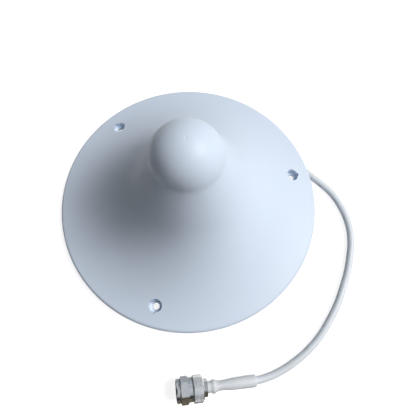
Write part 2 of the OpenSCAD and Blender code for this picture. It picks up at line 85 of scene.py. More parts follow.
# The plug's own axes: the origin is in its mouth's plane, +Z leaves the mouth, +Y is its front
# and +X is below
PLUG = next(m for m in frame["record"]["mounts"] if m["name"] == "n_plug")
PLUG_OUT = Vector(PLUG["axis"]).normalized()
PLUG_FRONT = PLUG_OUT.cross((0, 0, -1)).normalized()
PLUG_AXES = Matrix((PLUG_FRONT.cross(PLUG_OUT), PLUG_FRONT, PLUG_OUT)).transposed().to_4x4()
PLUG_AXES.translation = Vector(PLUG["pos_m"])

# The bell's sizes in millimetres: a knob, a hollow neck, a straight flank, a flare and a rim
RIM_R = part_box("radome")[1][0] / MM
BELL_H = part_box("radome")[1][2] / MM
BASE_R = -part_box("base_plate")[0][0] / MM
BASE_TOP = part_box("base_plate")[1][2] / MM
WALL = 2.5
KNOB_R = 25
NECK_R = 22
NECK_SLOPE = 80
FLANK_SLOPE = 65
RIM_SLOPE = 13
RIM_H = 9.5
RIM_ROUND = 3
# Ribs: thickness, where they start above the mounting face, gap to the base and turn between
RIB_T = 1.4
RIB_FROM = 2
RIB_GAP = 1
RIB_TURN = 30
# The seat's outline, from the base plate's top edge
SEAT = ((-1.5, 0), (WALL, 0), (WALL, 1.2), (-1.5, 1.2))
# Steps in the knob, neck, flare and rim, outside and inside the wall
OUTER_STEPS = (56, 12, 40, 10)
INNER_STEPS = (20, 5, 14, 3)

# Three mounting screws at the rim, and three posts between them. A floor closes each
# counterbore, and a web of it is left over the boss's core.
MOUNT_R = RIM_R - 17
MOUNT_TURNS = (10, 130, 250)
MOUNT_FLOOR = 7
MOUNT_WEB = 2
BOSS_R = 7
BOSS_RIB_AT = 4.2
CORE_R = 5.5
COUNTERBORE_R = 5
SCREW_HOLE_R = 2.7
RELIEF = [(2.89, -3.45), (6.5, 0), (2.89, 3.45)]
POST_R = BASE_R - 12
POST_TURNS = (70, 190, 310)
POST_THICK_R = 3.9
TAP_R = 1.55

# Heights that run bosses and cutters out past the wall, and posts past the roof
PAST_WALL = 40
PAST_ROOF = 60


class AntennaSizes(bpy.types.PropertyGroup):
    """Sizes of what is modelled here, beyond what the frame gives."""

    cable_diameter: FloatProperty(
        name="Cable diameter", description="Outside diameter of the jacket",
        default=0.006, min=0.004, max=0.007, subtype="DISTANCE", unit="LENGTH")
    bell_sides: IntProperty(
        name="Sides of the bell", description="Steps round the bell's moulding",
        default=240, min=48, max=512)
    knurl_starts: IntProperty(
        name="Knurl starts", description="Diamonds round the nut's knurled ring",
        default=46, min=20, max=90)
    thread_pitch: FloatProperty(
        name="Thread pitch", description="Pitch of the nut's screw thread",
        default=0.001058, min=0.0005, max=0.002, subtype="DISTANCE", unit="LENGTH")


class AntennaFinishes(bpy.types.PropertyGroup):
    """Colours of the antenna's materials."""

    housing: FloatVectorProperty(
        name="Housing", description="Moulded plastic of the bell",
        default=(0.70, 0.785, 0.905), size=3, min=0, max=1, subtype="COLOR")
    base: FloatVectorProperty(
        name="Base", description="Moulded plastic of the base plate",
        default=(0.66, 0.70, 0.74), size=3, min=0, max=1, subtype="COLOR")
    jacket: FloatVectorProperty(
        name="Cable jacket", description="Extruded jacket of the cable",
        default=(0.735, 0.776, 0.815), size=3, min=0, max=1, subtype="COLOR")
    sleeve: FloatVectorProperty(
        name="Shrink sleeve", description="Heat-shrink tube over the plug's neck",
        default=(0.745, 0.772, 0.793), size=3, min=0, max=1, subtype="COLOR")
    nickel: FloatVectorProperty(
        name="Nickel", description="Bright plating of the plug",
        default=(0.64, 0.645, 0.65), size=3, min=0, max=1, subtype="COLOR")
    brass: FloatVectorProperty(
        name="Brass", description="Sheet brass of the radiator",
        default=(0.74, 0.56, 0.26), size=3, min=0, max=1, subtype="COLOR")


class AntennaStudio(bpy.types.PropertyGroup):
    """Lamps and the room's light."""

    key_power: FloatProperty(
        name="Key power", description="Power of the large lamp on the right",
        default=59.0, min=0, unit="POWER")
    key_size: FloatProperty(
        name="Key size", description="Side of the large lamp",
        default=1.2, min=0.05, subtype="DISTANCE", unit="LENGTH")
    fill_power: FloatProperty(
        name="Overhead power", description="Power of the soft lamp overhead",
        default=0.5, min=0, unit="POWER")
    ambient: FloatVectorProperty(
        name="Ambient", description="The room's own light, which fills the shadows",
        default=(0.020, 0.026, 0.034), size=3, min=0, max=1, subtype="COLOR")


def sized():
    return bpy.context.scene.antenna_sizes


def finishes():
    return bpy.context.scene.antenna_finishes


def studio():
    return bpy.context.scene.antenna_studio


def paint(obj, material):
    """Gives the whole object one material."""
    obj.data.materials.clear()
    obj.data.materials.append(material)


def effect(name, inputs, outputs):
    """A shader node group, with the sockets that it is given and its output node."""
    tree = bpy.data.node_groups.new(name, "ShaderNodeTree")
    for label, kind, value in inputs:
        socket = tree.interface.new_socket(label, in_out="INPUT", socket_type=kind)
        socket.default_value = value
    for label, kind in outputs:
        tree.interface.new_socket(label, in_out="OUTPUT", socket_type=kind)
    return tree, tree.nodes.new("NodeGroupInput").outputs, tree.nodes.new("NodeGroupOutput")


def feed(node, **inputs):
    """Sets or links a node's inputs, each by its name, or by i and its number."""
    for label, value in inputs.items():
        socket = node.inputs[int(label[1:]) if label[1:].isdigit() else label.replace("_", " ")]
        if isinstance(value, bpy.types.NodeSocket):
            node.id_data.links.new(value, socket)
        else:
            socket.default_value = value
    return node


def add(tree, kind, settings=(), **inputs):
    """Adds a node, sets its properties and feeds its inputs."""
    node = tree.nodes.new("ShaderNode" + kind)
    for label, value in dict(settings).items():
        setattr(node, label, value)
    return feed(node, **inputs)


def math_node(tree, operation, *values):
    """What a Math node makes of its values or sockets."""
    inputs = {f"i{place}": value for place, value in enumerate(values)}
    return add(tree, "Math", {"operation": operation}, **inputs).outputs[0]


# What an effect gives to a surface
SURFACE = (("Color", "NodeSocketColor"), ("Roughness", "NodeSocketFloat"),
           ("Normal", "NodeSocketVector"))

# Specks sit in one cell of the grain in fourteen, and fill a little of it
SPECK_SHARE = 0.07
SPECK_SIZE = 0.018


def moulded_grain():
    """Fine spark-eroded grain, slow drifts of tone and gloss, and a few specks."""
    if "Moulded_grain" in bpy.data.node_groups:
        return bpy.data.node_groups["Moulded_grain"]
    tree, given, out = effect("Moulded_grain", [
        ("Color", "NodeSocketColor", (0.8, 0.8, 0.8, 1)), ("Drift", "NodeSocketFloat", 0.04),
        ("Gloss", "NodeSocketFloat", 0.45), ("Grain scale", "NodeSocketFloat", 1500.0),
        ("Grain depth", "NodeSocketFloat", 0.00002), ("Specks", "NodeSocketFloat", 0.3)], SURFACE)
    place = add(tree, "TexCoord").outputs["Object"]
    slow = add(tree, "TexNoise", Vector=place, Scale=14.0, Detail=3.0, Roughness=0.55)
    cells = add(tree, "TexVoronoi", {"feature": "F1"}, Vector=place, Scale=70.0, Randomness=1.0)
    grain = add(tree, "TexNoise", Vector=place, Scale=given["Grain scale"], Detail=2.0)
    half_drift = math_node(tree, "MULTIPLY", given["Drift"], 0.5)
    tone = math_node(tree, "MULTIPLY_ADD", slow.outputs[0], given["Drift"], 1.0)
    centred = math_node(tree, "SUBTRACT", tone, half_drift)
    lot = add(tree, "SeparateColor", Color=cells.outputs["Color"]).outputs[0]
    near = math_node(tree, "LESS_THAN", cells.outputs["Distance"], SPECK_SIZE)
    chosen = math_node(tree, "GREATER_THAN", lot, 1 - SPECK_SHARE)
    speck = math_node(tree, "MULTIPLY", math_node(tree, "MULTIPLY", near, chosen), given["Specks"])
    level = math_node(tree, "MULTIPLY", centred, math_node(tree, "SUBTRACT", 1.0, speck))
    color = add(tree, "VectorMath", {"operation": "SCALE"}, i0=given["Color"], Scale=level)
    gloss = add(tree, "MapRange", Value=slow.outputs[0], To_Min=-0.05, To_Max=0.05)
    bump = add(tree, "Bump", Height=grain.outputs[0], Strength=1.0, Distance=given["Grain depth"])
    feed(out, Color=color.outputs[0], Normal=bump.outputs[0],
         Roughness=math_node(tree, "ADD", given["Gloss"], gloss.outputs[0]))
    return tree


# How far a dulled spot goes towards the tarnish, and how much rougher it is
DULL_TINT = 0.5
DULL_ROUGHNESS = 0.10


def machined_marks():
    """Fine tool lines round an axis, clouded by handling, and a dulling where it was touched."""
    if "Machined_marks" in bpy.data.node_groups:
        return bpy.data.node_groups["Machined_marks"]
    tree, given, out = effect("Machined_marks", [
        ("Vector", "NodeSocketVector", (0, 0, 0)), ("Color", "NodeSocketColor", (0.7, 0.7, 0.7, 1)),
        ("Tarnish", "NodeSocketColor", (0.5, 0.45, 0.35, 1)), ("Gloss", "NodeSocketFloat", 0.2),
        ("Line scale", "NodeSocketFloat", 9000.0), ("Line depth", "NodeSocketFloat", 0.000004)],
        SURFACE)
    x, y, z = add(tree, "SeparateXYZ", Vector=given["Vector"]).outputs
    x_squared = math_node(tree, "MULTIPLY", x, x)
    radius = math_node(tree, "SQRT", math_node(tree, "MULTIPLY_ADD", y, y, x_squared))
    rings = add(tree, "CombineXYZ", X=radius, Z=z)
    lines = add(tree, "TexNoise", Vector=rings.outputs[0], Scale=given["Line scale"], Detail=1.0)
    cloud = add(tree, "TexNoise", Vector=given["Vector"], Scale=320.0, Detail=4.0, Roughness=0.6)
    dull = add(tree, "MapRange", Value=cloud.outputs[0], From_Min=0.48, From_Max=0.75).outputs[0]
    color = add(tree, "Mix", {"data_type": "RGBA"}, i0=math_node(tree, "MULTIPLY", dull, DULL_TINT),
                i6=given["Color"], i7=given["Tarnish"])
    bump = add(tree, "Bump", Height=lines.outputs[0], Strength=1.0, Distance=given["Line depth"])
    feed(out, Color=color.outputs[2], Normal=bump.outputs[0],
         Roughness=math_node(tree, "MULTIPLY_ADD", dull, DULL_ROUGHNESS, given["Gloss"]))
    return tree


def handling_marks():
    """A mask of faint smudges, 1 where skin oils made the surface smoother."""
    if "Handling_marks" in bpy.data.node_groups:
        return bpy.data.node_groups["Handling_marks"]
    tree, given, out = effect("Handling_marks", [("Scale", "NodeSocketFloat", 40.0)],
                              [("Mask", "NodeSocketFloat")])
    place = add(tree, "TexCoord").outputs["Object"]
    bent = add(tree, "TexNoise", Vector=place, Scale=given["Scale"], Detail=2.0, Distortion=0.8)
    feed(out, Mask=add(tree, "MapRange", Value=bent.outputs[0], From_Min=0.55, From_Max=0.7).outputs[0])
    return tree


def principled(name, **constants):
    """A material whose constants stay on its Principled shader's own sockets."""
    material = bpy.data.materials.new(name)
    material.use_nodes = True
    return material, feed(material.node_tree.nodes["Principled BSDF"], **constants)


# How much smoother the grain is under a smudge
SMUDGE_POLISH = 0.06


def plastic(name, color, drift, gloss, grain, depth, specks=0.0, smudge=60.0, **constants):
    """Moulded or extruded plastic, with smudges that polish its grain a little."""
    if name in bpy.data.materials:
        return bpy.data.materials[name]
    material, shader = principled(name, Specular_IOR_Level=0.35, **constants)
    tree = material.node_tree
    surface = add(tree, "Group", {"node_tree": moulded_grain()}, Color=(*color, 1), Drift=drift,
                  Gloss=gloss, Grain_scale=grain, Grain_depth=depth, Specks=specks).outputs
    touched = add(tree, "Group", {"node_tree": handling_marks()}, Scale=smudge).outputs[0]
    rough = math_node(tree, "MULTIPLY_ADD", touched, -SMUDGE_POLISH, surface["Roughness"])
    feed(shader, Base_Color=surface["Color"], Roughness=rough, Normal=surface["Normal"])
    return material


def metal(name, color, tarnish, gloss, lines, depth, on_plug=False):
    """Bare or plated metal with its tool lines round the plug's or the bell's axis."""
    if name in bpy.data.materials:
        return bpy.data.materials[name]
    material, shader = principled(name, Metallic=1.0)
    tree = material.node_tree
    place = add(tree, "TexCoord").outputs["Object"]
    if on_plug:
        to_plug = PLUG_AXES.inverted()
        place = add(tree, "Mapping", Vector=place, Location=to_plug.translation,
                    Rotation=to_plug.to_euler()).outputs[0]
    surface = add(tree, "Group", {"node_tree": machined_marks()}, Vector=place, Color=(*color, 1),
                  Tarnish=(*tarnish, 1), Gloss=gloss, Line_scale=lines, Line_depth=depth).outputs
    feed(shader, Base_Color=surface["Color"], Roughness=surface["Roughness"], Normal=surface["Normal"])
    return material


def housing_plastic():
    return plastic("Housing_plastic", finishes().housing, drift=0.03, gloss=0.47, grain=1400,
                   depth=0.00002, specks=0.45, smudge=22)


def base_plastic():
    return plastic("Base_plastic", finishes().base, drift=0.06, gloss=0.5, grain=1100,
                   depth=0.00003, specks=0.2)


def cable_jacket():
    return plastic("Cable_jacket", finishes().jacket, drift=0.05, gloss=0.36, grain=900,
                   depth=0.00003, smudge=90)


def shrink_tube():
    return plastic("Shrink_tube", finishes().sleeve, drift=0.05, gloss=0.42, grain=1300,
                   depth=0.00004, smudge=140, Subsurface_Weight=0.5,
                   Subsurface_Radius=(1, 1, 1), Subsurface_Scale=0.0015)


def gasket_rubber():
    return plastic("Gasket_rubber", (0.42, 0.07, 0.03), drift=0.1, gloss=0.62, grain=1800,
                   depth=0.00003)


def white_ptfe():
    return plastic("White_ptfe", (0.80, 0.80, 0.77), drift=0.04, gloss=0.4, grain=1200,
                   depth=0.00002)


def nickel(name, color, tarnish, gloss):
    """Nickel plating over the lathe's lines round the plug's axis."""
    return metal(name, color, tarnish, gloss, lines=5200, depth=0.000003, on_plug=True)


def nickel_plate():
    return nickel("Nickel_plate", finishes().nickel, (0.50, 0.48, 0.44), gloss=0.15)


def knurled_nickel():
    return nickel("Knurled_nickel", (0.70, 0.71, 0.715), (0.55, 0.54, 0.52), gloss=0.24)


def satin_nickel():
    return nickel("Satin_nickel", (0.38, 0.385, 0.39), (0.32, 0.31, 0.29), gloss=0.18)


def shaded_nickel():
    """The plating in the nut's grooves, thread and mouth: darkened as painted shade, and duller."""
    return nickel("Shaded_nickel", (0.20, 0.20, 0.195), (0.12, 0.11, 0.09), gloss=0.5)


def contact_gold():
    return metal("Contact_gold", (0.83, 0.62, 0.27), (0.66, 0.46, 0.18), gloss=0.16,
                 lines=6200, depth=0.000002, on_plug=True)


def spring_bronze():
    return metal("Spring_bronze", (0.62, 0.42, 0.24), (0.45, 0.3, 0.17), gloss=0.3,
                 lines=6200, depth=0.000002, on_plug=True)


def sheet_brass():
    return metal("Sheet_brass", finishes().brass, (0.52, 0.36, 0.16), gloss=0.28,
                 lines=2600, depth=0.000004)


def reflector_aluminium():
    return metal("Reflector_aluminium", (0.78, 0.79, 0.80), (0.66, 0.67, 0.68), gloss=0.36,
                 lines=2200, depth=0.000004)


def zinc_steel():
    return metal("Zinc_steel", (0.66, 0.67, 0.70), (0.55, 0.52, 0.44), gloss=0.3,
                 lines=4200, depth=0.000004)


def deselect():
    """Leaves nothing selected, so that the next primitive is edited alone."""
    if bpy.context.object and bpy.context.object.mode != "OBJECT":
        bpy.ops.object.mode_set(mode="OBJECT")
    bpy.ops.object.select_all(action="DESELECT")


def pick(*pieces):
    """Selects only these pieces, and makes the first one active."""
    deselect()
    for piece in pieces:
        piece.select_set(True)
    bpy.context.view_layer.objects.active = pieces[0]


def edit_all():
    """Opens the active piece for editing, with all of its mesh selected."""
    bpy.ops.object.mode_set(mode="EDIT")
    bpy.ops.mesh.select_all(action="SELECT")


def shape_with(piece, kind, **settings):
    """Shapes a piece with one modifier, and applies it."""
    pick(piece)
    modifier = piece.modifiers.new(kind.capitalize(), kind)
    for label, value in settings.items():
        setattr(modifier, label, value)
    bpy.ops.object.modifier_apply(modifier=modifier.name)


def outline(name, points, filled=False):
    """A closed outline: a circle whose points are moved to their places in millimetres."""
    deselect()
    bpy.ops.mesh.primitive_circle_add(
        vertices=len(points), radius=MM, fill_type="NGON" if filled else "NOTHING")
    piece = bpy.context.object
    piece.name = piece.data.name = name
    for vertex, place in zip(piece.data.vertices, points):
        vertex.co = Vector(place) * MM
    edit_all()
    return piece


def closed_up(piece, axes=None):
    """Merges a mesh's doubles, turns its faces outwards and puts it on its axes."""
    bpy.ops.mesh.select_all(action="SELECT")
    bpy.ops.mesh.remove_doubles(threshold=SLIVER / 4)
    bpy.ops.mesh.delete_loose()
    bpy.ops.mesh.select_all(action="SELECT")
    bpy.ops.mesh.normals_make_consistent(inside=False)
    bpy.ops.object.mode_set(mode="OBJECT")
    if axes:
        piece.matrix_world = axes
        bpy.ops.object.transform_apply(location=True, rotation=True, scale=True)
    return piece


def turned(name, half, axes=None, steps=96):
    """Spins a half outline of radius and height about its axis."""
    piece = outline(name, [(r, 0, z) for r, z in half])
    bpy.ops.mesh.spin(steps=steps, angle=math.tau, center=(0, 0, 0), axis=(0, 0, 1))
    return closed_up(piece, axes)


def prism(name, flat, low, high, axes=None):
    """Extrudes a flat outline from one height to another."""
    piece = outline(name, [(x, y, low) for x, y in flat], filled=True)
    bpy.ops.mesh.extrude_region_move(TRANSFORM_OT_translate={"value": (0, 0, (high - low) * MM)})
    return closed_up(piece, axes)


def combine(piece, others, operation):
    """Joins a piece with others, cuts them from it or keeps what it shares with them, and uses
    the others up."""
    for other in others:
        shape_with(piece, "BOOLEAN", object=other, operation=operation, solver="MANIFOLD")
        bpy.data.objects.remove(other)
    return piece


def box_outline(x0, x1, width):
    return [(x0, -width / 2), (x1, -width / 2), (x1, width / 2), (x0, width / 2)]


def hexagon(flats):
    corner = flats / math.sqrt(3)
    return [(corner * math.cos(a), corner * math.sin(a))
            for a in map(math.radians, range(0, 360, 60))]


def turn(degrees, radius=0.0, height=0.0):
    """A place at a radius in millimetres, turned about an upright axis."""
    return (Matrix.Rotation(math.radians(degrees), 4, "Z")
            @ Matrix.Translation((radius * MM, 0, height * MM)))


# Edges that turn by more than these stay sharp in shading, and are broken by a bevel
SHARP_FROM = math.radians(30)
BROKEN_FROM = math.radians(40)


def smooth(piece):
    """Clears a piece's slivers and shades it smooth up to its sharp edges, with normals that
    favour its large faces."""
    pick(piece)
    edit_all()
    bpy.ops.mesh.remove_doubles(threshold=SLIVER)
    bpy.ops.mesh.dissolve_degenerate(threshold=SLIVER)
    bpy.ops.object.mode_set(mode="OBJECT")
    bpy.ops.object.shade_smooth_by_angle(angle=SHARP_FROM)
    shape_with(piece, "WEIGHTED_NORMAL", keep_sharp=True)


def finished(piece, material, body, slot, *replaced):
    """Gives a new piece its finish and its body, and hides the nodes it stands for. Its slot is not
    used.
    """
    smooth(piece)
    paint(piece, material)
    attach(piece, body)
    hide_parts(*replaced)
    return piece


def merged_copy(node, name, width, material, slot):
    """A copy of a node with its doubles merged, its flats cleaned and its edges broken by a
    width, if there is one."""
    piece = NODES[node].copy()
    piece.data = NODES[node].data.copy()
    piece.name = piece.data.name = name
    bpy.context.collection.objects.link(piece)
    pick(piece)
    edit_all()
    bpy.ops.mesh.remove_doubles(threshold=SLIVER / 2)
    bpy.ops.mesh.dissolve_limited(angle_limit=math.radians(0.5))
    bpy.ops.object.mode_set(mode="OBJECT")
    if width:
        shape_with(piece, "BEVEL", width=width * MM, segments=2, limit_method="ANGLE",
                   angle_limit=BROKEN_FROM)
    return finished(piece, material, "antenna", slot, node)


# Camera close above the front of the bell
CAMERA_AT = Vector((0.0007, -0.1019, 0.3101))
CAMERA_TARGET = Vector((0.0173, -0.0076, 0))
CAMERA_ROLL = math.radians(6.19)
SENSOR = 36
LENS = 31.29

# The lamps, aimed at the bell: a large one on the right and a soft one overhead, twice its side
KEY_AT = Vector((1.40, -0.06, 1.96))
FILL_AT = Vector((0, 0, 2.4))
BELL_MIDDLE = Vector((0, 0, 0.03))

# The floor's paper, a hair below the base, and how bright it is where it is seen
FLOOR_SIZE = 6
FLOOR_AT = (0, 0, -0.1 * MM)
FLOOR_GLOW = 0.85

# Glowing cards round the plug and over the bell, which paint light and dark reflections into the
# metal and which only reflections see: size, place, tilts about X and Y, and shade
REFLECTION_CARDS = (
    ("Near_card", (0.30, 0.061), (-0.02, -0.1905, 0), (0, 0), (0.23, 0.198, 0.145)),
    ("Front_card", (0.50, 0.274), (-0.02, -0.358, 0), (0, 0), (0.05, 0.045, 0.04)),
    ("Wall_card", (0.80, 0.32), (-0.02, -0.49, 0.17), (90, 0), (0.06, 0.06, 0.06)),
    ("Rear_card", (0.107, 0.07), (-0.0565, -0.115, 0), (0, 0), (0.46, 0.50, 0.53)),
    ("Left_card", (0.30, 0.24), (-0.32, -0.15, 0.151), (0, 90), (0.04, 0.04, 0.04)),
    ("Top_card", (0.90, 1.05), (-0.05, -0.005, 0.36), (0, 0), (0.55, 0.595, 0.66)),
)


class ANTENNA_OT_stage(bpy.types.Operator):
    """Lay the floor, light it and set the camera"""

    bl_idname = "antenna.stage"
    bl_label = "Studio"

    def execute(self, context):
        deselect()
        scene = context.scene
        scene.view_settings.view_transform = "Standard"
        bpy.ops.mesh.primitive_plane_add(size=FLOOR_SIZE, location=FLOOR_AT)
        floor = context.object
        floor.name = "Floor"
        paint(floor, floor_paper())
        light_room(scene)
        # Cards that paint reflections, light and dark, into the metal
        for card in REFLECTION_CARDS:
            lay_reflection_card(*card)
        hang_lamp("Key_lamp", KEY_AT, studio().key_power, studio().key_size)
        hang_lamp("Overhead_lamp", FILL_AT, studio().fill_power, 2 * studio().key_size)
        bpy.ops.object.camera_add(location=CAMERA_AT)
        camera = context.object
        aim(camera, CAMERA_TARGET, CAMERA_ROLL)
        camera.data.sensor_width = SENSOR
        camera.data.lens = LENS
        camera.data.clip_start = 0.01
        scene.camera = camera
        return {"FINISHED"}


def lay_reflection_card(name, size, place, tilts, shade):
    """Lays a glowing card that paints a reflection, and that nothing but reflections see."""
    bpy.ops.mesh.primitive_plane_add(
        size=1, location=place, rotation=(*map(math.radians, tilts), 0))
    card = bpy.context.object
    card.name = name
    card.scale = (*size, 1)
    paint(card, principled(name, Base_Color=(0, 0, 0, 1), Roughness=1.0, Specular_IOR_Level=0.0,
                           Emission_Color=(*shade, 1), Emission_Strength=1.0)[0])
    for sight in ("camera", "diffuse", "shadow", "transmission"):
        setattr(card, "visible_" + sight, False)


def hang_lamp(name, place, power, size):
    bpy.ops.object.light_add(type="AREA", location=place)
    lamp = bpy.context.object
    lamp.name = name
    lamp.data.energy = power
    lamp.data.size = size
    aim(lamp, BELL_MIDDLE)


def aim(obj, target, roll=0.0):
    """Points a lamp or the camera at a target, turned about its own line of sight."""
    look = (target - obj.location).to_track_quat("-Z", "Y").to_matrix()
    obj.rotation_euler = (look @ Matrix.Rotation(roll, 3, "Z")).to_euler()


def seen_rays(tree):
    """1 for rays from the camera, in reflections and through glass, and otherwise 0."""
    path = add(tree, "LightPath").outputs
    mirrored = math_node(tree, "MAXIMUM", path["Is Camera Ray"], path["Is Glossy Ray"])
    return math_node(tree, "MAXIMUM", mirrored, path["Is Transmission Ray"])


def floor_paper():
    """White paper: white to the eye and in metal, and an ordinary pale floor to light."""
    material, shader = principled("Floor_paper", Base_Color=(0.45, 0.45, 0.45, 1), Roughness=1.0,
                                  Specular_IOR_Level=0.0, Emission_Color=(1, 1, 1, 1))
    tree = material.node_tree
    feed(shader, Emission_Strength=math_node(tree, "MULTIPLY", seen_rays(tree), FLOOR_GLOW))
    return material


def light_room(scene):
    """A dim even room that is white where it is seen."""
    world = bpy.data.worlds.new("Room")
    world.use_nodes = True
    scene.world = world
    tree = world.node_tree
    room = add(tree, "Mix", {"data_type": "RGBA"}, i0=seen_rays(tree),
               i6=(*studio().ambient, 1), i7=(1, 1, 1, 1))
    feed(tree.nodes["Background"], Color=room.outputs[2])


# The new pieces on the cable, and the nodes on it that stay as they are
ON_CABLE = ("Shrink_sleeve", "Plug_body", "Coupling_nut", "Plug_gasket", "Plug_insulator",
            "Contact_pin")
NODES_ON_CABLE = ("crimp_ferrule", "snap_ring")


class ANTENNA_OT_cable(bpy.types.Operator):
    """Lay the coaxial pigtail on its route"""

    bl_idname = "antenna.cable"
    bl_label = "Coaxial cable"

    def execute(self, context):
        diameter = sized().cable_diameter
        data = bpy.data.curves.new("Coaxial_cable", "CURVE")
        data.dimensions = "3D"
        data.resolution_u = 8
        data.bevel_depth = diameter / 2
        data.bevel_resolution = 6
        data.use_fill_caps = True
        spline = data.splines.new("BEZIER")
        spline.bezier_points.add(len(ROUTE) - 1)
        for point, place in zip(spline.bezier_points, ROUTE):
            point.co = place
            point.handle_left_type = point.handle_right_type = "AUTO"
        cable = bpy.data.objects.new("Coaxial_cable", data)
        context.collection.objects.link(cable)
        paint(cable, cable_jacket())
        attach(cable, "antenna")
        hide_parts("coax_cable")
        pieces = [bpy.data.objects[name] for name in ON_CABLE]
        pieces += [NODES[name] for name in NODES_ON_CABLE]
        return {"FINISHED"}


def across(slope):
    """The outward direction of an outline that falls by a slope in degrees."""
    return Vector((math.sin(math.radians(slope)), math.cos(math.radians(slope))))


def along(slope):
    """The direction in which such an outline runs, out and down."""
    return Vector((math.cos(math.radians(slope)), -math.sin(math.radians(slope))))


def crossed(a, b):
    return a.x * b.y - a.y * b.x


def bell_arcs():
    """Centre, signed radius and the two slopes of each arc, from the knob to the rim."""
    knob = Vector((0, BELL_H - KNOB_R))
    neck = knob + (KNOB_R + NECK_R) * across(NECK_SLOPE)
    flank_top = neck - NECK_R * across(FLANK_SLOPE)
    edge = Vector((RIM_R - RIM_ROUND, RIM_H - RIM_ROUND * math.cos(math.radians(RIM_SLOPE))))
    span = edge + RIM_ROUND * across(RIM_SLOPE) - flank_top
    bend = crossed(along(FLANK_SLOPE), along(RIM_SLOPE))
    flank_run = crossed(span, along(RIM_SLOPE)) / bend
    flare_run = min(flank_run, crossed(along(FLANK_SLOPE), span) / bend)
    flare_r = flare_run / math.tan(math.radians(FLANK_SLOPE - RIM_SLOPE) / 2)
    flare_top = flank_top + (flank_run - flare_run) * along(FLANK_SLOPE)
    flare = flare_top + flare_r * across(FLANK_SLOPE)
    return [(knob, KNOB_R, 0, NECK_SLOPE), (neck, -NECK_R, NECK_SLOPE, FLANK_SLOPE),
            (flare, -flare_r, FLANK_SLOPE, RIM_SLOPE), (edge, RIM_ROUND, RIM_SLOPE, 90)]


def bell_outline(inset, steps):
    """Points of the bell's outline, each arc in its own number of steps."""
    points = []
    for (centre, radius, start, end), count in zip(bell_arcs(), steps):
        for i in range(count + 1):
            slope = start + (end - start) * i / count
            points.append(centre + (radius - inset) * across(slope))
    return points


def height_at(points, radius):
    """Height of an outline at a radius, read from the rim inwards."""
    for b, a in zip(reversed(points), reversed(points[:-1])):
        if a.x <= radius <= b.x:
            return a.y + (b.y - a.y) * (radius - a.x) / (b.x - a.x)
    raise ValueError("The outline doesn't reach that radius")


# The moulding's gate: a pip in a shallow ring at the top of the knob
GATE = [(0, -0.04), (0.3, -0.06), (0.4, -0.2), (0.65, -0.2), (0.9, -0.05), (1.2, -0.03)]


def bell_shell():
    """The bell's wall, turned with the gate's mark on top and its foot's edges broken."""
    outer = [p for p in bell_outline(0, OUTER_STEPS) if p.x > GATE[-1][0] + 0.2]
    inner = bell_outline(WALL, INNER_STEPS)
    foot = [(RIM_R, 0.3), (RIM_R - 0.3, 0), (RIM_R - WALL + 0.3, 0), (RIM_R - WALL, 0.3)]
    half = [(r, BELL_H + drop) for r, drop in GATE] + [tuple(p) for p in outer]
    half += foot + [tuple(p) for p in reversed(inner)]
    return turned("Radome", half, steps=sized().bell_sides)


def inside_features():
    """Bosses, posts, ribs and the base plate's seat, trimmed inside the bell's wall."""
    sides = sized().bell_sides
    middle = [tuple(p) for p in bell_outline(WALL / 2, INNER_STEPS)]
    core = turned("Bell_core", middle + [(RIM_R - WALL / 2, 0), (0, 0)], steps=sides)
    ledge = [(BASE_R + out, BASE_TOP + up) for out, up in SEAT]
    pieces = [turned("Seat", ledge, steps=sides)]
    boss = [(0, 0), (BOSS_R - 0.2, 0), (BOSS_R, 0.2), (BOSS_R, PAST_WALL), (0, PAST_WALL)]
    post = [(0, 0), (POST_THICK_R, 0), (POST_THICK_R, PAST_ROOF), (0, PAST_ROOF)]
    for a in MOUNT_TURNS:
        pieces.append(turned("Boss", boss, turn(a, MOUNT_R)))
        for side in (-BOSS_RIB_AT, BOSS_RIB_AT):
            flat = [(x, y + side) for x, y in box_outline(0, RIM_R - MOUNT_R - WALL / 2, RIB_T)]
            pieces.append(prism("Boss_rib", flat, RIB_FROM, RIB_FROM + RIM_H, turn(a, MOUNT_R)))
    for a in POST_TURNS:
        pieces.append(turned("Post", post, turn(a, POST_R, BASE_TOP)))
    for a in range(MOUNT_TURNS[0], 360, RIB_TURN):
        if a not in MOUNT_TURNS:
            pieces.append(prism("Rim_rib", box_outline(BASE_R + RIB_GAP, RIM_R - WALL / 2, RIB_T),
                                RIB_FROM, RIB_FROM + RIM_H, turn(a)))
    features = combine(pieces[0], pieces[1:], "UNION")
    return combine(features, [core], "INTERSECT")


def mount_cutters(outer):
    """Cored boss, screw hole, counterbore with a broken edge, and a pointed relief outside it."""
    top = height_at(outer, MOUNT_R)
    step = 2
    fall = math.atan2(top - height_at(outer, MOUNT_R + step), step)
    tilted = Matrix.Translation((0, 0, top * MM)) @ Matrix.Rotation(fall, 4, "Y")
    core = MOUNT_FLOOR - MOUNT_WEB
    bore = [(0, -1), (CORE_R, -1), (CORE_R, core - 0.3), (CORE_R - 0.3, core),
            (SCREW_HOLE_R + 0.2, core), (SCREW_HOLE_R, core + 0.2),
            (SCREW_HOLE_R, MOUNT_FLOOR - 0.2), (SCREW_HOLE_R + 0.2, MOUNT_FLOOR),
            (COUNTERBORE_R - 0.2, MOUNT_FLOOR), (COUNTERBORE_R, MOUNT_FLOOR + 0.2),
            (COUNTERBORE_R, PAST_WALL), (0, PAST_WALL)]
    edge = [(0, -0.4), (COUNTERBORE_R, -0.4), (COUNTERBORE_R + 1.6, 1.2), (0, 1.2)]
    cutters = []
    for at in (turn(a, MOUNT_R) for a in MOUNT_TURNS):
        cutters.append(turned("Counterbore", bore, at))
        cutters.append(prism("Relief", RELIEF, MOUNT_FLOOR, PAST_WALL, at))
        cutters.append(turned("Broken_edge", edge, at @ tilted))
    return cutters


# The cable slot: half its width, its height, its corners' radius and how far the cutter runs
SLOT_HALF = 4
SLOT_TOP = 7
SLOT_CORNER = 2
SLOT_RUN = 13


